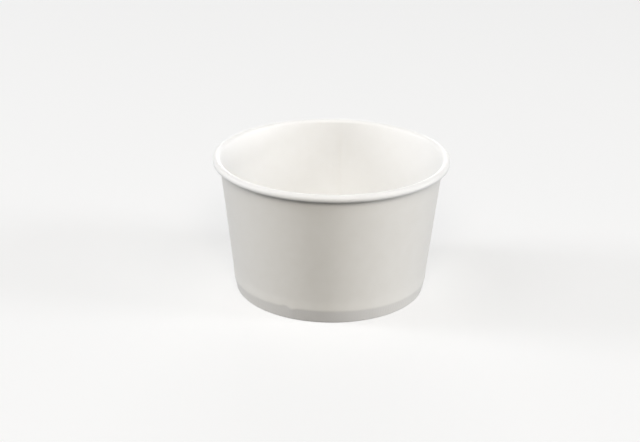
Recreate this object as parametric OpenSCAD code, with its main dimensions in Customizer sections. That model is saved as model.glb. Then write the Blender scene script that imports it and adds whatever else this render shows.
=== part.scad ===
// Plain white paper food container, open at the top.
// A conical sidewall, lapped at one seam, is rolled outwards at the rim and folded inwards at the foot.
// The hem at the foot grips the down-turned skirt of the bottom disc.
// The origin is at the middle of the foot, on the floor, with +Z up.

/* [Overall] */
// Outer diameter over the rolled rim
rim_d = 96; // [86:0.5:120]
// Height from the floor to the top of the rim
cup_h = 56.6; // [35:0.2:110]
// Outer diameter of the base band at the floor
base_d = 77.9; // [66:0.1:86]

/* [Board] */
// Thickness of the sidewall board
wall_t = 0.4; // [0.3:0.01:0.5]
// Thickness of the bottom board
disc_t = 0.35; // [0.25:0.01:0.5]
// Glue line between the skirt and the board on either side of it
seal_gap = 0.05; // [0.03:0.01:0.08]

/* [Rolled rim] */
// Outer radius of the roll
curl_r = 1.55; // [1.35:0.05:2.2]
// Angle through which the edge is rolled
curl_turn = 420; // [380:5:440]
// Angle at which the edge starts to tuck into the roll, past its outermost point
tuck_from = 190; // [180:5:220]
// Angle at which the edge is fully tucked in
tuck_to = 335; // [310:5:345]
// Clearance between the turns of the roll
curl_gap = 0.1; // [0.08:0.01:0.15]

/* [Base hem] */
// Height of the pressed base band, up to its shoulder
band_h = 5.3; // [4.6:0.1:9]
// How far the shoulder stands outside the foot
shoulder_out = 1.1; // [0.4:0.05:1.6]
// Bend radius of the shoulder
shoulder_r = 8; // [4:0.5:12]
// Height of the gathered stretch above the shoulder
neck_h = 4; // [2.5:0.1:8]
// How far that stretch leans outwards
neck_out = 0.2; // [0.05:0.05:0.4]
// Bend radius where that stretch meets the straight wall
neck_r = 30; // [10:1:40]
// Space between the folded-up leg of the hem and the bottom above it
hem_clear = 0.45; // [0.25:0.05:1.5]
// Inside radius of the folds at the foot
crease_r = 0.05; // [0.02:0.01:0.1]
// How far the bottom's upper face lies under the shoulder
disc_drop = 0.2; // [0.1:0.05:0.5]
// Inside radius of the bend between the bottom and its skirt
disc_bend = 0.2; // [0.1:0.05:0.4]
// Space under the skirt, inside the fold
skirt_clear = 0.25; // [0.1:0.05:0.6]

/* [Side seam] */
// Width of the lap, half way up the wall
seam_w = 7.5; // [5:0.5:12]
// Place of the lap's middle round the wall, from +X
seam_angle = 79.5; // [0:0.5:359.5]
// Length over which the outer layer runs down onto the wall
seam_ramp = 4; // [3:0.5:6]
// Height at which the lap is pressed flat into the foot
lap_foot = 0.7; // [0.6:0.1:2]

/* [Hidden] */

// Steps round the axis, and in each rounded corner and each turn of the roll
$fn = 180;
corner_steps = 5;
curl_step = 10;
// How far the lap's section is sunk into the wall, and how far cutting shapes reach past what they cut
sunk = 0.15;
reach = 1;

// The section is drawn in the plane of radius and height.
// A path runs along the board's outside face, and its left side is the side of the food.
// Each point of a path holds a radius, a height and the bend radius of the outside face there.
function at(p) = [p[0], p[1]];
function unit(v) = v / norm(v);
function left(v) = [-v[1], v[0]];
function polar(angle) = [cos(angle), sin(angle)];
function reversed(list) = [for (i = [len(list) - 1 : -1 : 0]) list[i]];

// Unit normal, to the left, of the stretch that ends at point i
function normal(path, i) = left(unit(at(path[i]) - at(path[i - 1])));

// Point i of a path, moved to the left by a depth into the board
function moved(path, i, depth) =
    let (
        before = normal(path, max(i, 1)),
        after = normal(path, min(i + 1, len(path) - 1))
    )
    at(path[i]) + depth * (before + after) / (1 + before * after);

// Arc that rounds the corner b between a and c
function rounded(a, b, c, radius) =
    let (
        back = unit(a - b),
        on = unit(c - b),
        half = acos(back * on) / 2,
        centre = b + unit(back + on) * radius / sin(half),
        start = b + back * radius / tan(half) - centre,
        first = atan2(start[1], start[0]),
        sweep = sign(cross(b - a, c - b)) * (180 - 2 * half)
    )
    [for (i = [0 : corner_steps]) centre + radius * polar(first + sweep * i / corner_steps)];

// Bend radius at point i, at a depth into the board
function bend(path, i, depth) =
    path[i][2] - depth * sign(cross(at(path[i]) - at(path[i - 1]), at(path[i + 1]) - at(path[i])));

// All points of the board's face at a depth
function face(path, depth) =
    let (last = len(path) - 1)
    concat(
        [moved(path, 0, depth)],
        [
            for (i = [1 : last - 1])
            for (point = rounded(moved(path, i - 1, depth), moved(path, i, depth),
                                 moved(path, i + 1, depth), bend(path, i, depth)))
            point
        ],
        [moved(path, last, depth)]
    );

// Closed section of the board between two depths
function section(path, depth_a, depth_b) = concat(face(path, depth_a), reversed(face(path, depth_b)));

// Lean of the base band, and of the hem and skirt that lie along it
band_slope = shoulder_out / band_h;
band_lean = atan(band_slope);
hem_w = (2 * wall_t + disc_t + 2 * seal_gap) / cos(band_lean);
fold_r = crease_r + wall_t;

disc_z = band_h - disc_drop;
hem_h = disc_z - disc_t - hem_clear;

foot_outer = [base_d / 2, 0, fold_r];
foot_inner = [base_d / 2 - hem_w, 0, fold_r];
hem_top = [foot_inner[0] + hem_h * band_slope, hem_h, 0];
shoulder = [base_d / 2 + shoulder_out, band_h, shoulder_r];
neck = [shoulder[0] + neck_out, band_h + neck_h, neck_r];

// The straight wall runs from the neck to where it is tangent to the roll
curl_centre = [rim_d / 2 - curl_r, cup_h - curl_r];
curl_inner = curl_r - wall_t;
to_curl = curl_centre - at(neck);
wall_angle = atan2(to_curl[1], to_curl[0]) + asin(curl_inner / norm(to_curl));
wall_len = sqrt(norm(to_curl) ^ 2 - curl_inner ^ 2);
function on_wall(length) = at(neck) + length * polar(wall_angle);

// Radius of the roll's outer face after a turn: the edge tucks inside its own first turn
function ease(x) = x * x * (3 - 2 * x);
function tucked(turn) = ease(min(max((turn - tuck_from) / (tuck_to - tuck_from), 0), 1));
function curl_face(turn) = curl_r - (wall_t + curl_gap) * tucked(turn);
function curl_point(turn, depth) =
    curl_centre + (curl_face(turn) - depth) * polar(wall_angle + 90 - turn);

function with_bend(point, radius) = [point[0], point[1], radius];
wall_path = [hem_top, foot_inner, foot_outer, shoulder, neck, with_bend(on_wall(wall_len), 0)];
sidewall_section = concat(
    face(wall_path, 0),
    [for (turn = [curl_step : curl_step : curl_turn]) curl_point(turn, wall_t)],
    reversed([for (turn = [curl_step : curl_step : curl_turn]) curl_point(turn, 0)]),
    reversed(face(wall_path, wall_t))
);

// The bottom's path runs up the skirt and in along the upper face
skirt_in = (wall_t + seal_gap) / cos(band_lean);
function on_skirt(z) = base_d / 2 - skirt_in + z * band_slope;
skirt_z = wall_t + skirt_clear;
disc_path = [[on_skirt(skirt_z), skirt_z, 0], [on_skirt(disc_z), disc_z, disc_bend + disc_t], [0, disc_z, 0]];

// The lap's outer layer lies on the wall from the foot up into the underside of the roll
function on_band(z) = [base_d / 2 + z * band_slope, z, 0];
lap_end = wall_len - curl_inner / 2;
lap_path = [on_band(lap_foot), shoulder, neck, with_bend(on_wall(lap_end), 0)];
lap_envelope_path = [on_band(lap_foot - reach), shoulder, neck, with_bend(on_wall(lap_end + reach), 0)];

// The groove inside follows the outer layer as it runs down, along the straight wall
groove_from = reach;
groove_to = wall_len - reach / 2;
groove_path = [with_bend(on_wall(groove_from), 0), with_bend(on_wall(groove_to), 0)];

lap_r = on_wall(wall_len / 2)[0] + wall_t;
seam_span = seam_w / lap_r * 180 / PI;
ramp_span = (seam_ramp + reach) / lap_r * 180 / PI;
seam_from = seam_angle - seam_span / 2;
seam_to = seam_angle + seam_span / 2;

// The ramp leaves the end of the lap along a straight line, which drops by one board over its length
ramp_angle = atan(wall_t / seam_ramp + seam_ramp / (2 * lap_r));
ramp_len = 2 * (seam_w + seam_ramp + reach);

// All that lies inside the ramp's face at a depth, turned about the end of the lap
module ramp_envelope(depth) {
    core = base_d / 4;
    outer = face(lap_envelope_path, depth);
    last = len(outer) - 1;
    rotate(seam_to)
        translate([lap_r, 0, 0])
            rotate(ramp_angle)
                translate([-lap_r, 0, 0])
                    rotate([90, 0, 0])
                        linear_extrude(height = ramp_len, center = true)
                            polygon(concat(outer, [[core, outer[last][1]], [core, outer[0][1]]]));
}

module lap() {
    intersection() {
        rotate_extrude(angle = seam_span + ramp_span, start = seam_from)
            polygon(section(lap_path, sunk, -wall_t));
        ramp_envelope(-wall_t);
    }
}

// Space inside, next to the raw edge of the inner layer
module lap_groove() {
    intersection() {
        rotate_extrude(angle = ramp_span, start = seam_to)
            polygon(section(groove_path, wall_t + sunk, -sunk));
        ramp_envelope(0);
    }
}

module sidewall() {
    color("whitesmoke")
        difference() {
            union() {
                rotate_extrude() polygon(sidewall_section);
                lap();
            }
            lap_groove();
        }
}

module bottom() {
    color("white")
        rotate_extrude() polygon(section(disc_path, 0, disc_t));
}

sidewall();
bottom();
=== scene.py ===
"""Looks of the paper food container: white board, soft studio light and the photograph's camera.

All sizes are in metres, in the frame of the solids: origin at the middle of the foot, +Z up,
camera on the -Y side. Angles round the axis are in degrees and start at +X.
"""

import math

import bmesh
import bpy
import numpy as np
from mathutils import Matrix, Vector


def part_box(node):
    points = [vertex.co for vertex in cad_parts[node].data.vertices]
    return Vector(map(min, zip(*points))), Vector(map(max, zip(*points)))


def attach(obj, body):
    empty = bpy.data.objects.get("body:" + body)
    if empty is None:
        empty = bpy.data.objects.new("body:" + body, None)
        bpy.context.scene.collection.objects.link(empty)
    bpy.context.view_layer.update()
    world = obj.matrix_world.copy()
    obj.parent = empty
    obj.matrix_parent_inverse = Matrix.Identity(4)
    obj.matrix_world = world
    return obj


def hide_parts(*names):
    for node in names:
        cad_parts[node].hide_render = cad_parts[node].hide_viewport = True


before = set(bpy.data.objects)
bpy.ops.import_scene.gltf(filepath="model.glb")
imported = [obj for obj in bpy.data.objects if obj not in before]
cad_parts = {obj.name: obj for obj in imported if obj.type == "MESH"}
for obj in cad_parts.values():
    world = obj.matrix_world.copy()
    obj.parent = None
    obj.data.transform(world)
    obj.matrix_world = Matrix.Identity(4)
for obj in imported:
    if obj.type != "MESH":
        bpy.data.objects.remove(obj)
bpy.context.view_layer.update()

MM = 0.001

# Heights, taken from the solids, and the rim's radius, a hair smaller than theirs to stay in their box
CUP_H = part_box("sidewall")[1].z
DISC_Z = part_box("bottom")[1].z
RIM_R = 47.96 * MM

# Board, rolled rim, base hem and side seam, as the solids have them
WALL_T = 0.40 * MM
DISC_T = 0.35 * MM
SEAL_GAP = 0.05 * MM
CURL_R = 1.55 * MM
CURL_GAP = 0.10 * MM
CURL_TURN = 420
TUCK_FROM = 190
TUCK_TO = 335
BASE_R = 38.95 * MM
BAND_H = 5.3 * MM
SHOULDER_OUT = 1.1 * MM
SHOULDER_R = 8 * MM
NECK_H = 4 * MM
NECK_OUT = 0.2 * MM
NECK_R = 30 * MM
CREASE_R = 0.05 * MM
HEM_CLEAR = 0.45 * MM
DISC_BEND = 0.2 * MM
SKIRT_CLEAR = 0.25 * MM
SEAM_W = 7.5 * MM
SEAM_ANGLE = 79.5
SEAM_RAMP = 4 * MM
LAP_FOOT = 0.7 * MM

# The seam in the meshes: degrees that the step at a raw edge takes, the height under the roll in which
# the lap fades out, and the share of the lap that shows on the roll, with the width in which it comes in
EDGE_SPAN = 0.03
LAP_END = 0.6 * MM
ROLL_LAP = 0.3
ROLL_LAP_W = 0.7 * CURL_R

# Columns of the meshes round the axis: four for each rib of the crimped hem, and two in the bottom.
# An even column gives way where it is nearer to a column of the seam than this share of a step.
RIBS = 200
COLUMNS = 4 * RIBS
DISC_COLUMNS = 2 * RIBS
COLUMN_ROOM = 0.25

# Steps in the corners and parts in the straight runs of each face, in the order of its path.
# The food side has fewer below the bottom, where it is hidden.
OUT_STEPS = [0, 5, 5, 5, 4, 0]
OUT_RUNS = [0, 5, 1, 5, 2, 7]
FOOD_STEPS = [0, 2, 2, 5, 4, 0]
FOOD_RUNS = [0, 2, 1, 2, 2, 7]
DISC_STEPS = [0, 6, 0]
DISC_RUNS = [0, 4, 16]

# Degrees between the points of the roll, where it shows and where it is hidden
CURL_STEP = 10
CURL_STEP_HIDDEN = 30

# Radius of the flat face in the middle of the bottom
CENTRE_R = 0.4 * MM

# Bend in degrees from which an edge looks sharp
SHARP_ANGLE = 38

# Share of the hem's width, from the outside, beyond which the outside face belongs to the hem
HEM_SPLIT = 0.6

# Crimp ribs: depth on the hem inside the base, depth of their trace on the band outside, how many places
# round the axis have them pressed hardest, and one of these places
HEM_RIB = 0.08 * MM
BAND_RIB = 0.07 * MM
RIB_PLACES = 3
RIB_HARDEST = 95

# Slow unevenness of the wall: its size, and for each wave its share, its number round the axis,
# its start in radians and its turn in radians for each metre of height
WALL_WAVE = 0.02 * MM
WALL_WAVES = ((1.0, 2, 0.6, 0), (0.6, 3, 2.1, 0), (0.4, 7, 4.0, 30))

# The bottom: its sag, where that starts, and the share, number and start in radians of the waves in it.
# The ring pressed near its edge: its depth, and where it starts, is full and ends, in shares of the
# foot's radius.
DISC_SAG = 0.18 * MM
SAG_EDGE = 0.97 * BASE_R
SAG_WAVES = ((0.25, 2, 0.5), (0.15, 3, 2.0))
RING_DEPTH = 0.05 * MM
RING_SHARES = (0.86, 0.89, 0.93, 0.96)

# The band's upper edge: its slow rise and fall, and the wrinkle that lifts it and then drops it
EDGE_WAVE = 0.22 * MM
EDGE_WAVES = 3
EDGE_WAVE_TOP = 262
WRINKLE_RISE = 0.55 * MM
WRINKLE_UP = 244.2
WRINKLE_UP_SPAN = 4
WRINKLE_DOWN = 248.8
WRINKLE_DOWN_SPAN = 3.6

# Painted shade on the band: its colour is made darker and cooler than the wall's. This stands in for the
# light that comes through the single wall from the inside but not through the band, and for the smaller
# share of light that falls on the band's front. The painted shade is darkest round one angle, weaker
# away from it, and fades over twice the last length at the band's upper edge.
BAND_SHADE_LAYER = "pressed"
BAND_SHADE_TINT = (0.89, 0.895, 0.92)
BAND_SHADE_DARKEST = 268
BAND_SHADE_SPAN = 58
BAND_SHADE_LEAST = 0.25
BAND_SHADE_SOFT = 0.75 * MM

# Board: lighter and darker tone, roughness, and strength of the grain
WHITE_BOARD = ((0.892, 0.876, 0.838), (0.876, 0.858, 0.816), 0.55, 0.22)
COATED_BOARD = ((0.938, 0.933, 0.920), (0.928, 0.922, 0.906), 0.46, 0.12)
BOARD_EDGE = ((0.860, 0.830, 0.770), (0.820, 0.785, 0.720), 0.75, 0.5)

# Share of the usual reflection that the board's surface has, the clouds in its colour, and the fibres in
# its gloss and its relief. Scales are for each metre.
PAPER_SPECULAR = 0.3
CLOUD_SCALE = 220
CLOUD_DETAIL = 4
CLOUD_RANGE = (0.3, 0.7)
FIBRE_SCALE = 1600
FIBRE_DETAIL = 5
FIBRE_TWIST = 0.6
GLOSS_SPREAD = 0.05
GRAIN_DEPTH = 0.03 * MM

# Background and floor: their pale colour, the floor's own colour to the eye and in thrown-back light,
# the share of its paleness that needs no lamp, and the even light from all round
PALE = (0.95, 0.95, 0.945)
FLOOR_SEEN = (0.48, 0.48, 0.48)
FLOOR_BOUNCE = (0.15, 0.15, 0.15)
FLOOR_GLOW = 0.53
FLOOR_ROUGH = 0.9
FLOOR_HALF = 8.0
WORLD_LIGHT = 0.06

# Soft boxes: azimuth and elevation in degrees, width and height in metres, power in watts, and tint.
# Azimuth is 0 on the camera's side and grows to the right. All are equally far from the container.
LAMP_FAR = 3.0
NEUTRAL = (1.0, 1.0, 1.0)
WARM = (1.0, 0.95, 0.87)
COOL = (0.955, 0.97, 1.0)
LAMPS = {
    "left_side": (-93, 20, 0.8, 1.2, 33, COOL),
    "left_low": (-88, 4.5, 0.8, 0.4, 9, COOL),
    "left_top": (-80, 50, 1.8, 1.5, 18, COOL),
    "right_side": (80, 22, 0.8, 1.0, 25, COOL),
    "right_low": (84, 4.5, 0.8, 0.4, 26, COOL),
    "right_top": (34, 50, 1.8, 1.5, 15, NEUTRAL),
    "front": (0, 37, 1.5, 1.0, 40, WARM),
    "back": (178, 11, 1.5, 0.8, 27, NEUTRAL),
}

# The camera: place, turns in degrees, and lens and sensor in millimetres
CAMERA_PLACE = Vector((0.0, -0.4739, 0.2224))
CAMERA_PITCH = 22.39
CAMERA_YAW = -0.52
CAMERA_ROLL = 0.64
CAMERA_LENS = 69.7
SENSOR_W = 36.0


def unit(v):
    return v / np.hypot(v[0], v[1])


def left(v):
    """The vector turned to its left by a right angle."""
    return np.array((-v[1], v[0]))


def polar(angle):
    return np.array((math.cos(math.radians(angle)), math.sin(math.radians(angle))))


def ease(x):
    """Smooth step from 0 at 0 to 1 at 1."""
    x = np.clip(x, 0.0, 1.0)
    return x * x * (3 - 2 * x)


def between(x, low, low_full, high_full, high):
    """1 from low_full to high_full, and 0 outside low to high."""
    return ease((x - low) / (low_full - low)) * ease((high - x) / (high - high_full))


def hump(angle, middle, span):
    """1 at the middle, and 0 from a span away."""
    return 1 - ease(np.abs((angle - middle + 180) % 360 - 180) / span)


def turn_sign(a, b, c):
    """1 where the path a, b, c turns left, and -1 where it turns right."""
    before, after = b - a, c - b
    return math.copysign(1.0, before[0] * after[1] - before[1] * after[0])


def moved(path, i, depth):
    """Point i of a path, moved to its left by a depth into the board."""
    last = len(path) - 1
    near, far = max(i, 1), min(i + 1, last)
    before = left(unit(path[near] - path[near - 1]))
    after = left(unit(path[far] - path[far - 1]))
    return path[i] + depth * (before + after) / (1 + before @ after)


def corner(a, b, c, radius, steps):
    """Arc that rounds the corner b between a and c."""
    back, on = unit(a - b), unit(c - b)
    half = math.acos(max(-1.0, min(1.0, back @ on))) / 2
    centre = b + unit(back + on) * radius / math.sin(half)
    start = b + back * radius / math.tan(half) - centre
    first = math.degrees(math.atan2(start[1], start[0]))
    sweep = turn_sign(a, b, c) * (180 - 2 * math.degrees(half))
    return [centre + radius * polar(first + sweep * i / steps) for i in range(steps + 1)]


def board_face(path, bends, depth, steps, runs):
    """Points of the board's face at a depth: rounded corners, and straight runs cut into equal parts."""
    last = len(path) - 1
    points = [moved(path, 0, depth)]
    for i in range(1, last + 1):
        if i < last:
            radius = bends[i] - depth * turn_sign(path[i - 1], path[i], path[i + 1])
            three = [moved(path, k, depth) for k in (i - 1, i, i + 1)]
            arc = corner(*three, radius, steps[i])
        else:
            arc = [moved(path, last, depth)]
        begin, end = points[-1], arc[0]
        points += [begin + (end - begin) * k / runs[i] for k in range(1, runs[i])]
        points += arc
    return points


# Section of the sidewall in the plane of radius and height, along its outside face
band_slope = SHOULDER_OUT / BAND_H
band_cos = math.cos(math.atan(band_slope))
hem_w = (2 * WALL_T + DISC_T + 2 * SEAL_GAP) / band_cos
hem_h = DISC_Z - DISC_T - HEM_CLEAR
fold_r = CREASE_R + WALL_T
foot_inner = np.array((BASE_R - hem_w, 0))
foot_outer = np.array((BASE_R, 0))
hem_top = foot_inner + hem_h * np.array((band_slope, 1))
shoulder = np.array((BASE_R + SHOULDER_OUT, BAND_H))
neck = shoulder + np.array((NECK_OUT, NECK_H))
curl_centre = np.array((RIM_R - CURL_R, CUP_H - CURL_R))
curl_inner = CURL_R - WALL_T
roll_low = CUP_H - 2 * CURL_R
lap_top = roll_low - LAP_END
to_curl = curl_centre - neck
curl_far = math.hypot(*to_curl)
wall_angle = math.degrees(math.atan2(to_curl[1], to_curl[0]) + math.asin(curl_inner / curl_far))
wall_len = math.sqrt(curl_far ** 2 - curl_inner ** 2)
wall_top = neck + wall_len * polar(wall_angle)
wall_path = [hem_top, foot_inner, foot_outer, shoulder, neck, wall_top]
wall_bends = [0, fold_r, fold_r, SHOULDER_R, NECK_R, 0]

# Side seam: where the lap's outer layer starts and ends, and the ramp on which it comes back to the wall
lap_r = (neck + wall_len / 2 * polar(wall_angle))[0] + WALL_T
seam_span = math.degrees(SEAM_W / lap_r)
ramp_span = math.degrees(SEAM_RAMP / lap_r)
seam_from = SEAM_ANGLE - seam_span / 2
seam_to = SEAM_ANGLE + seam_span / 2

# Heights between which a relief fades in, is full and fades out
hem_fade = (WALL_T, 3 * WALL_T, hem_h - 2 * WALL_T, hem_h - WALL_T)
band_fade = (WALL_T, 2 * WALL_T, 0.7 * BAND_H, BAND_H)
edge_fade = (0.3 * BAND_H, 0.9 * BAND_H, 1.1 * BAND_H, 1.9 * BAND_H)
wave_fade = (BAND_H, 0.3 * CUP_H, 0.7 * CUP_H, roll_low)
groove_fade = (DISC_Z, neck[1], roll_low, CUP_H - CURL_R)

# The bottom's section runs up its skirt and in along its upper face, then back
skirt_in = (WALL_T + SEAL_GAP) / band_cos
skirt_z = WALL_T + SKIRT_CLEAR


def curl_point(turn, depth):
    """Point of the roll: its edge tucks inside its own first turn."""
    tuck = float(ease((turn - TUCK_FROM) / (TUCK_TO - TUCK_FROM)))
    radius = CURL_R - (WALL_T + CURL_GAP) * tuck
    return curl_centre + (radius - depth) * polar(wall_angle + 90 - turn)


def at_height(below, above, height):
    """Point of a straight run at a height."""
    return below + (above - below) * (height - below[1]) / (above[1] - below[1])


def hem_or_wall(point):
    """Zone of a point of the outside face."""
    r, z = point
    split = BASE_R - HEM_SPLIT * hem_w + z * band_slope
    return "hem" if r < split and z < hem_h + WALL_T else "wall"


def sidewall_section():
    """Closed section, with the zone that each point belongs to."""
    outside = board_face(wall_path, wall_bends, 0, OUT_STEPS, OUT_RUNS)
    outside[-1:-1] = [at_height(*outside[-2:], height) for height in (lap_top, roll_low)]
    food = board_face(wall_path, wall_bends, WALL_T, FOOD_STEPS, FOOD_RUNS)
    inner_turns = range(CURL_STEP_HIDDEN, CURL_TURN + 1, CURL_STEP_HIDDEN)
    hidden_turns = range(CURL_TURN, TUCK_TO, -CURL_STEP_HIDDEN)
    seen_turns = range(TUCK_TO, 0, -CURL_STEP)
    points = list(outside)
    zones = [hem_or_wall(point) for point in outside]
    for zone, group in (
        ("roll_inside", [curl_point(turn, WALL_T) for turn in inner_turns]),
        ("roll", [curl_point(turn, 0) for turn in (*hidden_turns, *seen_turns)]),
        ("food", food[::-1]),
    ):
        points += group
        zones += [zone] * len(group)
    return np.array(points), np.array(zones)


def section_normals(points):
    """Unit normals of a closed section, to the right of its direction, which is out of the solid."""
    ahead = np.roll(points, -1, 0) - points
    ahead /= np.linalg.norm(ahead, axis=1)[:, None]
    along = ahead + np.roll(ahead, 1, 0)
    along /= np.linalg.norm(along, axis=1)[:, None]
    return np.stack((along[:, 1], -along[:, 0]), 1)


def seam_ramp_height(angle):
    return WALL_T * np.clip(1 - (angle - seam_to) / ramp_span, 0, 1)


def lap_height(angle):
    """How far the outer layer stands out from the wall."""
    on_lap = WALL_T * np.clip((angle - seam_from) / EDGE_SPAN, 0, 1)
    return np.where(angle <= seam_to, on_lap, seam_ramp_height(angle))


def groove_depth(angle):
    """How far the wall's food side lies back beside the raw edge."""
    step = np.clip((angle - seam_to) / EDGE_SPAN, 0, 1)
    return np.where(angle < seam_to, 0, step * seam_ramp_height(angle))


def wall_wave(angle, height):
    """Slow unevenness of the wall, fading out at the rim and the base."""
    turns = np.radians(angle)
    waves = sum(
        share * np.sin(number * turns + start + turn * height)
        for share, number, start, turn in WALL_WAVES
    )
    return WALL_WAVE * waves * between(height, *wave_fade)


def rib_wave(angle):
    """Crimp ribs, from 0 in the grooves to 1 on the ridges where they are pressed hardest."""
    press = 0.5 + 0.5 * np.cos(RIB_PLACES * np.radians(angle - RIB_HARDEST))
    return press * (0.5 + 0.5 * np.cos(RIBS * np.radians(angle)))


def band_shift(angle):
    """Rise and fall of the band's upper edge."""
    slow = EDGE_WAVE * np.cos(EDGE_WAVES * np.radians(angle - EDGE_WAVE_TOP))
    lift = hump(angle, WRINKLE_UP, WRINKLE_UP_SPAN)
    drop = hump(angle, WRINKLE_DOWN, WRINKLE_DOWN_SPAN)
    return slow + WRINKLE_RISE * (lift - drop)


def band_shade_share(angle, points, zones):
    """Share of painted shade on the band at each column and point: darkest round one angle, none above
    the band.
    """
    shade_strength = BAND_SHADE_LEAST + (1 - BAND_SHADE_LEAST) * hump(angle, BAND_SHADE_DARKEST, BAND_SHADE_SPAN)
    fade = ease((BAND_H + BAND_SHADE_SOFT - points[:, 1]) / (2 * BAND_SHADE_SOFT))
    return shade_strength * (zones == "wall") * fade


def seam_relief(angle, points, zones):
    """The lap outside, what still shows of it on the roll, and the groove on the food side."""
    r, z = points.T
    on_lap = (zones == "wall") * ease((z - LAP_FOOT) / WALL_T) * ease((roll_low - z) / LAP_END)
    on_roll = (zones == "roll") * ease((r - curl_centre[0]) / ROLL_LAP_W) * ease((z - roll_low) / CURL_R)
    on_groove = (zones == "food") * between(z, *groove_fade)
    return lap_height(angle) * (on_lap + ROLL_LAP * on_roll) - groove_depth(angle) * on_groove


def rib_relief(angle, points, zones):
    """Crimp ribs, pressed into the hem and the band."""
    z = points[:, 1]
    hem = HEM_RIB * (zones == "hem") * between(z, *hem_fade)
    band = BAND_RIB * (zones == "wall") * between(z, *band_fade)
    return -rib_wave(angle) * (hem + band)


def wave_relief(angle, points, zones):
    """Slow unevenness, which moves both faces of the wall the same way."""
    way = np.where(zones == "wall", 1, np.where(zones == "food", -1, 0))
    return way * wall_wave(angle, points[:, 1])


def sidewall_columns(angle, points, zones):
    """The section at each column, with its seam, ribs, unevenness and moved band edge."""
    reliefs = (seam_relief, rib_relief, wave_relief)
    shift = sum(relief(angle, points, zones) for relief in reliefs)
    r, z = points.T
    out_r, out_z = section_normals(points).T
    edge = band_shift(angle) * (zones == "wall") * between(z, *edge_fade)
    return on_axis(angle, r + out_r * shift, z + out_z * shift + edge)


def sidewall_faces(angles, points, zones):
    """Material of each face: raw where the board is cut, coated on the food side and the roll."""
    white, coated, raw = range(3)
    kinds = np.where(np.isin(zones, ("roll", "food")), coated, white)
    curl_edge = np.flatnonzero(zones == "roll_inside")[-1]
    kinds[[curl_edge, len(zones) - 1]] = raw
    faces = np.repeat(kinds[None], len(angles), 0)
    for edge, zone in ((seam_from, "wall"), (seam_to, "food")):
        faces[np.argmin(np.abs(angles - edge)), (zones == zone) & (points[:, 1] > LAP_FOOT)] = raw
    return faces


def column_angles(count, extra=()):
    """Even angles and the extra ones, without the even ones that are too near to these."""
    even = np.arange(count) * 360.0 / count
    room = COLUMN_ROOM * 360.0 / count
    clear = [a for a in even if all(abs(a - e) > room for e in extra)]
    return np.sort(np.concatenate((clear, extra)))


def on_axis(angle, radius, height):
    """Points at a radius and a height for each column and section point."""
    turns = np.radians(angle)
    return np.stack((radius * np.cos(turns), radius * np.sin(turns), height), -1)


def revolve(name, columns, materials, face_material, pressed):
    """Closed mesh from one section for each column round the axis.

    columns is an array of columns, points of the section and X, Y, Z.
    face_material and the last argument have a value for each column and point: the material of the face
    that starts there, and the share of painted shade on the band there.
    """
    count, ring = columns.shape[:2]
    index = np.arange(count * ring).reshape(count, ring)
    ahead = np.roll(index, -1, 0)
    quads = np.stack((index, ahead, np.roll(ahead, -1, 1), np.roll(index, -1, 1)), -1)
    mesh = bpy.data.meshes.new(name)
    mesh.from_pydata(columns.reshape(-1, 3).tolist(), [], quads.reshape(-1, 4).tolist())
    for material in materials:
        mesh.materials.append(material)
    mesh.polygons.foreach_set("material_index", np.asarray(face_material, np.int32).reshape(-1))
    # Share of painted shade on the band, which darkens the paper's colour
    layer = mesh.attributes.new(BAND_SHADE_LAYER, "FLOAT", "POINT")
    layer.data.foreach_set("value", np.asarray(pressed, np.float32).reshape(-1))
    mesh.shade_smooth()
    mesh.set_sharp_from_angle(angle=math.radians(SHARP_ANGLE))
    mesh.validate()
    mesh.update()
    piece = bpy.data.objects.new(name, mesh)
    bpy.context.scene.collection.objects.link(piece)
    return piece


def build_sidewall(materials):
    points, zones = sidewall_section()
    edges = [seam_from, seam_from + EDGE_SPAN, seam_to, seam_to + EDGE_SPAN, seam_to + ramp_span]
    angles = column_angles(COLUMNS, edges)
    angle = angles[:, None]
    columns = sidewall_columns(angle, points, zones)
    faces = sidewall_faces(angles, points, zones)
    return revolve("sidewall_board", columns, materials, faces, band_shade_share(angle, points, zones))


def on_skirt(z):
    return np.array((BASE_R - skirt_in + z * band_slope, z))


def bottom_section():
    """Closed section, and the number of its last point on the upper side."""
    path = [on_skirt(skirt_z), on_skirt(DISC_Z), np.array((CENTRE_R, DISC_Z))]
    bends = [0, DISC_BEND + DISC_T, 0]
    upper = board_face(path, bends, 0, DISC_STEPS, DISC_RUNS)
    under = board_face(path, bends, DISC_T, DISC_STEPS, DISC_RUNS)
    return np.array(upper + under[::-1]), len(upper) - 1


def bottom_height(angle, points):
    """Heights of the section at each column, with the sag and the pressed ring."""
    turns = np.radians(angle)
    r, z = points.T
    warp = 1 + sum(share * np.sin(number * turns + start) for share, number, start in SAG_WAVES)
    ring = RING_DEPTH * between(r, *(share * BASE_R for share in RING_SHARES))
    return z - DISC_SAG * ease(1 - r / SAG_EDGE) * warp - ring


def close_centre(mesh, count, ring, top):
    """Swaps the small tube at the axis for one flat face above and one below."""
    work = bmesh.new()
    work.from_mesh(mesh)
    work.verts.ensure_lookup_table()
    upper = [work.verts[c * ring + top] for c in range(count)]
    lower = [work.verts[c * ring + top + 1] for c in range(count)]
    ends = set(upper + lower)
    tube = [f for f in work.faces if all(v in ends for v in f.verts)]
    bmesh.ops.delete(work, geom=tube, context="FACES")
    work.faces.new(upper).smooth = True
    work.faces.new(lower[::-1]).smooth = True
    bmesh.ops.recalc_face_normals(work, faces=work.faces)
    work.to_mesh(mesh)
    work.free()


def build_bottom(materials):
    points, top = bottom_section()
    angles = column_angles(DISC_COLUMNS)
    angle = angles[:, None]
    radius = np.repeat(points[None, :, 0], len(angles), 0)
    columns = on_axis(angle, radius, bottom_height(angle, points))
    coated, white, raw = range(3)
    kinds = np.where(np.arange(len(points)) < top, coated, white)
    kinds[-1] = raw
    faces = np.repeat(kinds[None], len(angles), 0)
    piece = revolve("bottom_board", columns, materials, faces, np.zeros_like(radius))
    close_centre(piece.data, len(angles), len(points), top)
    return piece


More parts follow.
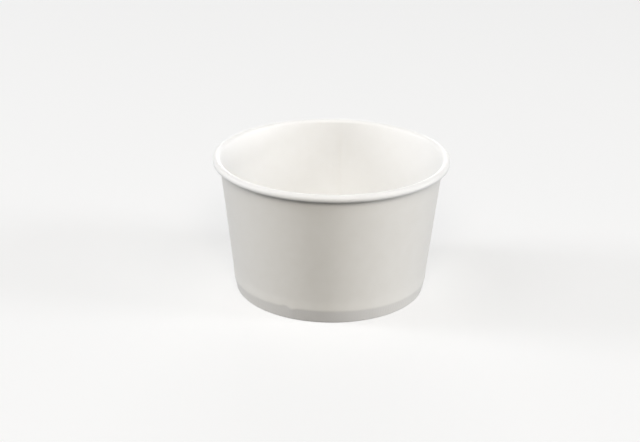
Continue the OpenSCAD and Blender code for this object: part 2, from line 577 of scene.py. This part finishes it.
def noise(tree, place, scale, detail, twist):
    """Socket of a noise that is fixed to the piece."""
    pattern = tree.nodes.new("ShaderNodeTexNoise")
    pattern.inputs["Scale"].default_value = scale
    pattern.inputs["Detail"].default_value = detail
    pattern.inputs["Distortion"].default_value = twist
    tree.links.new(place.outputs["Object"], pattern.inputs["Vector"])
    return pattern.outputs["Fac"]


def cloudy_tone(tree, clouds, light, dark):
    """Socket of a colour that goes from dark to light with the clouds."""
    tone = tree.nodes.new("ShaderNodeValToRGB")
    for stop, position, colour in zip(tone.color_ramp.elements, CLOUD_RANGE, (dark, light)):
        stop.position = position
        stop.color = (*colour, 1)
    tree.links.new(clouds, tone.inputs["Fac"])
    return tone.outputs["Color"]


def pressed_tone(tree, tone):
    """Socket of the tone with the band's painted shade multiplied into it."""
    band = tree.nodes.new("ShaderNodeAttribute")
    band.attribute_name = BAND_SHADE_LAYER
    colour = tree.nodes.new("ShaderNodeMix")
    colour.data_type = "RGBA"
    colour.blend_type = "MULTIPLY"
    colour.inputs["B"].default_value = (*BAND_SHADE_TINT, 1)
    tree.links.new(band.outputs["Fac"], colour.inputs["Factor"])
    tree.links.new(tone, colour.inputs["A"])
    return colour.outputs["Result"]


def fibre_gloss(tree, fibres, rough):
    """Socket of a roughness that varies with the fibres."""
    gloss = tree.nodes.new("ShaderNodeMapRange")
    gloss.inputs["To Min"].default_value = rough - GLOSS_SPREAD
    gloss.inputs["To Max"].default_value = rough + GLOSS_SPREAD
    tree.links.new(fibres, gloss.inputs["Value"])
    return gloss.outputs["Result"]


def fibre_grain(tree, fibres, strength):
    """Socket of a surface on which the fibres stand out."""
    grain = tree.nodes.new("ShaderNodeBump")
    grain.inputs["Strength"].default_value = strength
    grain.inputs["Distance"].default_value = GRAIN_DEPTH
    tree.links.new(fibres, grain.inputs["Height"])
    return grain.outputs["Normal"]


def paper(name, light, dark, rough, grain_strength):
    """Paperboard: cloudy white, with fine fibres in its gloss and its surface."""
    material = bpy.data.materials.new(name)
    material.use_nodes = True
    tree = material.node_tree
    shader = tree.nodes["Principled BSDF"]
    shader.inputs["Specular IOR Level"].default_value = PAPER_SPECULAR
    place = tree.nodes.new("ShaderNodeTexCoord")
    clouds = noise(tree, place, CLOUD_SCALE, CLOUD_DETAIL, 0.0)
    fibres = noise(tree, place, FIBRE_SCALE, FIBRE_DETAIL, FIBRE_TWIST)
    # Painted shade: the board's colour is darkened and cooled on the band
    colour = pressed_tone(tree, cloudy_tone(tree, clouds, light, dark))
    tree.links.new(colour, shader.inputs["Base Color"])
    tree.links.new(fibre_gloss(tree, fibres, rough), shader.inputs["Roughness"])
    tree.links.new(fibre_grain(tree, fibres, grain_strength), shader.inputs["Normal"])
    return material


def seen_rays(tree):
    """Socket that is 1 for what is seen directly, in a reflection or through glass, and else 0."""
    ray = tree.nodes.new("ShaderNodeLightPath")
    seen = ray.outputs["Is Camera Ray"]
    for kind in ("Is Glossy Ray", "Is Transmission Ray"):
        either = tree.nodes.new("ShaderNodeMath")
        either.operation = "MAXIMUM"
        tree.links.new(seen, either.inputs[0])
        tree.links.new(ray.outputs[kind], either.inputs[1])
        seen = either.outputs["Value"]
    return seen


def floor_material():
    """Pale to the eye, with the container's shadow, and plain grey in the light that it throws back."""
    material = bpy.data.materials.new("pale_floor")
    material.use_nodes = True
    tree = material.node_tree
    shader = tree.nodes["Principled BSDF"]
    shader.inputs["Roughness"].default_value = FLOOR_ROUGH
    shader.inputs["Specular IOR Level"].default_value = 0.0
    shader.inputs["Emission Color"].default_value = (*PALE, 1)
    seen = seen_rays(tree)
    colour = tree.nodes.new("ShaderNodeMix")
    colour.data_type = "RGBA"
    colour.inputs["A"].default_value = (*FLOOR_BOUNCE, 1)
    colour.inputs["B"].default_value = (*FLOOR_SEEN, 1)
    tree.links.new(seen, colour.inputs["Factor"])
    tree.links.new(colour.outputs["Result"], shader.inputs["Base Color"])
    glow = tree.nodes.new("ShaderNodeMath")
    glow.operation = "MULTIPLY"
    glow.inputs[1].default_value = FLOOR_GLOW
    tree.links.new(seen, glow.inputs[0])
    tree.links.new(glow.outputs["Value"], shader.inputs["Emission Strength"])
    return material


def build_floor():
    half = FLOOR_HALF
    corners = [(-half, -half, 0), (half, -half, 0), (half, half, 0), (-half, half, 0)]
    mesh = bpy.data.meshes.new("floor")
    mesh.from_pydata(corners, [], [(0, 1, 2, 3)])
    mesh.materials.append(floor_material())
    floor = bpy.data.objects.new("floor", mesh)
    bpy.context.scene.collection.objects.link(floor)


def camera_turn():
    """Rotation of the camera, from its right, up and forward directions."""
    pitch, yaw, roll = (math.radians(a) for a in (CAMERA_PITCH, CAMERA_YAW, CAMERA_ROLL))
    level = math.cos(pitch)
    forward = Vector((math.sin(yaw) * level, math.cos(yaw) * level, -math.sin(pitch)))
    right = Vector((math.cos(yaw), -math.sin(yaw), 0))
    up = right.cross(forward)
    rolled_right = right * math.cos(roll) + up * math.sin(roll)
    rolled_up = up * math.cos(roll) - right * math.sin(roll)
    return Matrix((rolled_right, rolled_up, -forward)).transposed().to_4x4()


def build_camera():
    data = bpy.data.cameras.new("camera")
    data.sensor_fit = "HORIZONTAL"
    data.sensor_width = SENSOR_W
    data.lens = CAMERA_LENS
    camera = bpy.data.objects.new("camera", data)
    camera.matrix_world = Matrix.Translation(CAMERA_PLACE) @ camera_turn()
    bpy.context.scene.collection.objects.link(camera)
    bpy.context.scene.camera = camera


def lamp(name, azimuth, elevation, width, height, power, tint):
    """Soft box that faces the container, and that the camera doesn't see."""
    data = bpy.data.lights.new(name, "AREA")
    data.shape = "RECTANGLE"
    data.size = width
    data.size_y = height
    data.energy = power
    data.color = tint
    box = bpy.data.objects.new(name, data)
    side, rise = math.radians(azimuth), math.radians(elevation)
    way = Vector((math.sin(side) * math.cos(rise), -math.cos(side) * math.cos(rise), math.sin(rise)))
    box.location = Vector((0, 0, CUP_H / 2)) + LAMP_FAR * way
    box.rotation_euler = way.to_track_quat("Z", "Y").to_euler()
    box.visible_camera = False
    bpy.context.scene.collection.objects.link(box)


def build_lights():
    for name, values in LAMPS.items():
        lamp(name, *values)


def build_world():
    """Pale background, and a faint even light from all round."""
    world = bpy.data.worlds.new("studio")
    world.use_nodes = True
    tree = world.node_tree
    background = tree.nodes["Background"]
    background.inputs["Color"].default_value = (*PALE, 1)
    strength = tree.nodes.new("ShaderNodeMapRange")
    strength.inputs["To Min"].default_value = WORLD_LIGHT
    strength.inputs["To Max"].default_value = 1.0
    tree.links.new(seen_rays(tree), strength.inputs["Value"])
    tree.links.new(strength.outputs["Result"], background.inputs["Strength"])
    bpy.context.scene.world = world


outside_paper = paper("white_board", *WHITE_BOARD)
food_paper = paper("coated_board", *COATED_BOARD)
edge_paper = paper("board_edge", *BOARD_EDGE)

sidewall = build_sidewall([outside_paper, food_paper, edge_paper])
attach(sidewall, "root")
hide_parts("sidewall")

bottom = build_bottom([food_paper, outside_paper, edge_paper])
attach(bottom, "root")
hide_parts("bottom")

build_floor()
build_camera()
build_lights()
build_world()
bpy.context.scene.view_settings.view_transform = "Standard"
